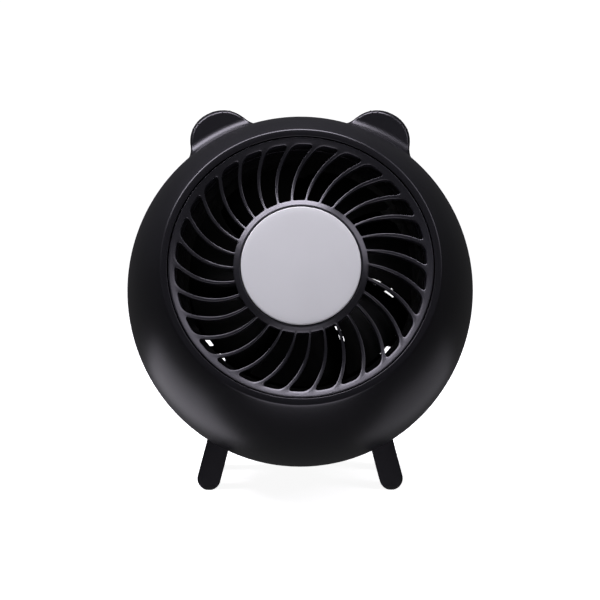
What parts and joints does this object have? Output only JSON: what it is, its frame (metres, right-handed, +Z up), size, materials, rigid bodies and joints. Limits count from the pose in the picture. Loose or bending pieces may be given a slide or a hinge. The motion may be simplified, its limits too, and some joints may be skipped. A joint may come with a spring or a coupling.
{
  "type": "desk fan",
  "caption": "Ball-shaped desk fan with two round ears, a spiral-ribbed front grille with a plain centre disc, and short splayed legs.",
  "frame": {"origin": "on the surface the fan stands on, under the middle of its bounding box", "axes": "+Z up, -Y out of the grille's side (the fan axis leans back 14.5 degrees), +X to the right seen from the front"},
  "size_m": [0.15, 0.1536, 0.1662],
  "materials": {
    "housing": "charcoal moulded plastic with a fine satin grain",
    "grille": "charcoal moulded plastic, a little glossier than the housing",
    "disc": "light grey satin plastic",
    "inner_plastic": "black moulded plastic, untextured",
    "leg": "black matte plastic",
    "pad": "black anti-slip rubber",
    "steel": "plain steel",
    "zinc": "zinc-plated steel",
    "bronze": "sintered bronze or brass",
    "copper": "enamelled copper",
    "ferrite": "dark ferrite",
    "carbon": "dull black carbon or moulded epoxy",
    "board": "green lacquered circuit board",
    "sleeve": "blue shrink sleeve",
    "red_wire": "red wire insulation",
    "black_wire": "black wire insulation"
  },
  "bodies": {
    "housing": {"front_housing": "housing", "rear_housing": "housing", "front_grille": "grille", "grille_disc": "disc", "fan_frame": "inner_plastic", "motor_can": "zinc", "motor_end_cap": "inner_plastic", "magnet_left": "ferrite", "magnet_right": "ferrite", "brush_left": "carbon", "brush_right": "carbon", "front_bearing": "bronze", "rear_bearing": "bronze", "control_board": "board", "power_socket": "zinc", "button_switch": "inner_plastic", "capacitor": "sleeve", "driver_chip": "carbon", "motor_lead_left": "black_wire", "motor_lead_right": "red_wire", "front_left_leg": "leg", "front_left_foot_pad": "pad", "front_left_leg_screw": "steel", "front_right_leg": "leg", "front_right_foot_pad": "pad", "front_right_leg_screw": "steel", "rear_left_leg": "leg", "rear_left_foot_pad": "pad", "rear_left_leg_screw": "steel", "rear_right_leg": "leg", "rear_right_foot_pad": "pad", "rear_right_leg_screw": "steel", "housing_screw_1": "steel", "frame_screw_1": "steel", "housing_screw_2": "steel", "frame_screw_2": "steel", "housing_screw_3": "steel", "frame_screw_3": "steel", "housing_screw_4": "steel", "frame_screw_4": "steel", "motor_screw_1": "steel", "board_screw_1": "steel", "motor_screw_2": "steel", "board_screw_2": "steel"},
    "rotor": {"impeller": "inner_plastic", "impeller_nut": "bronze", "motor_shaft": "steel", "rotor_core": "steel", "winding_1": "copper", "winding_2": "copper", "winding_3": "copper", "commutator": "copper"},
    "button": {"power_button": "grille"}
  },
  "joints": [
    {"name": "fan_spin", "type": "hinge", "parent": "housing", "child": "rotor", "pos_m": [0, 0.0018, 0.0845], "axis": [0, -0.9681, 0.2504], "continuous": true},
    {"name": "button_press", "type": "slide", "parent": "housing", "child": "button", "axis": [0, -0.766, 0.6428], "range_m": [0, 0.001], "stiffness_N_per_m": 1500}
  ]
}
